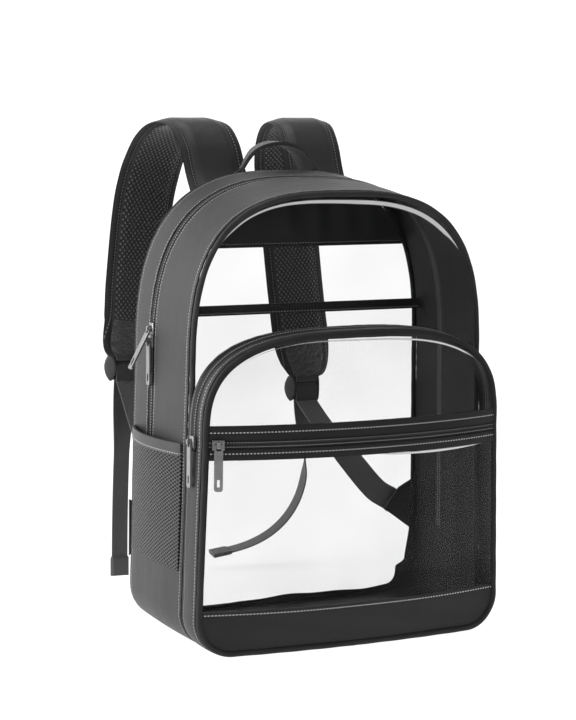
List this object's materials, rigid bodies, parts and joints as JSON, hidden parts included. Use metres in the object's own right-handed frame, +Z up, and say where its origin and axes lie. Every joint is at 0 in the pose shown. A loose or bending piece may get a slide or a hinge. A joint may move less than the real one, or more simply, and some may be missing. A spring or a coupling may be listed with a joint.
{
  "type": "clear backpack",
  "caption": "Clear backpack with a domed top, curved front pocket, side mesh pockets, padded straps, and a grab handle, for carrying things in plain view.",
  "frame": {"origin": "middle of the main bag's flat base, on the floor", "axes": "+Z up, -Y towards the front pocket, +X to the right as seen from the front"},
  "size_m": [0.3492, 0.3684, 0.4842],
  "materials": {
    "fabric": "coated woven fabric",
    "trim": "smooth tape",
    "mesh": "stretch mesh",
    "vinyl": "clear gloss",
    "webbing": "ribbed webbing",
    "plastic": "satin",
    "metal": "polished"
  },
  "bodies": {
    "bag": {"base_panel": "fabric", "gusset_rear_strip": "fabric", "gusset_front_strip": "fabric", "back_yoke": "fabric", "pocket_gusset_base": "fabric", "pocket_gusset_rear": "fabric", "pocket_gusset_front": "fabric", "pocket_zip_band_upper": "fabric", "pocket_zip_band_lower": "fabric", "pocket_bottom_band": "fabric", "shoulder_pad_left": "fabric", "shoulder_pad_right": "fabric", "corner_patch_left": "fabric", "corner_patch_right": "fabric", "main_zip": "trim", "main_front_piping": "trim", "back_piping": "trim", "pocket_piping": "trim", "sleeve_binding": "trim", "pocket_zip": "trim", "front_zip": "trim", "side_mesh_binding_left": "trim", "side_mesh_binding_right": "trim", "side_mesh_left": "mesh", "side_mesh_right": "mesh", "main_front_panel": "vinyl", "back_panel": "vinyl", "sleeve_panel": "vinyl", "pocket_upper_panel": "vinyl", "pocket_lower_panel": "vinyl", "lock_loop_left": "webbing", "lock_loop_right": "webbing", "strap_webbing_left": "webbing", "strap_webbing_right": "webbing", "handle": "webbing", "ladder_lock_left": "plastic", "ladder_lock_right": "plastic", "main_upper_slider": "metal", "main_lower_slider": "metal", "pocket_slider": "metal", "front_slider": "metal"},
    "main_upper_pull_body": {"main_upper_pull": "metal"},
    "main_lower_pull_body": {"main_lower_pull": "metal"},
    "pocket_pull_body": {"pocket_pull": "metal"},
    "front_pull_body": {"front_pull": "metal"}
  },
  "joints": [
    {"name": "main_upper_pull_swing", "type": "hinge", "parent": "bag", "child": "main_upper_pull_body", "pos_m": [-0.1586, 0.0169, 0.29069], "axis": [0, 1, 0], "range_deg": [0, 145]},
    {"name": "main_lower_pull_swing", "type": "hinge", "parent": "bag", "child": "main_lower_pull_body", "pos_m": [-0.15913, 0.0169, 0.2791], "axis": [0, 1, 0], "range_deg": [0, 30]},
    {"name": "pocket_pull_swing", "type": "hinge", "parent": "bag", "child": "pocket_pull_body", "pos_m": [-0.15873, -0.08173, 0.19901], "axis": [0, 1, 0], "range_deg": [0, 170]},
    {"name": "front_pull_swing", "type": "hinge", "parent": "bag", "child": "front_pull_body", "pos_m": [-0.14124, -0.10809, 0.1985], "axis": [-0.9509, 0.3094, 0], "range_deg": [0, 170]}
  ]
}
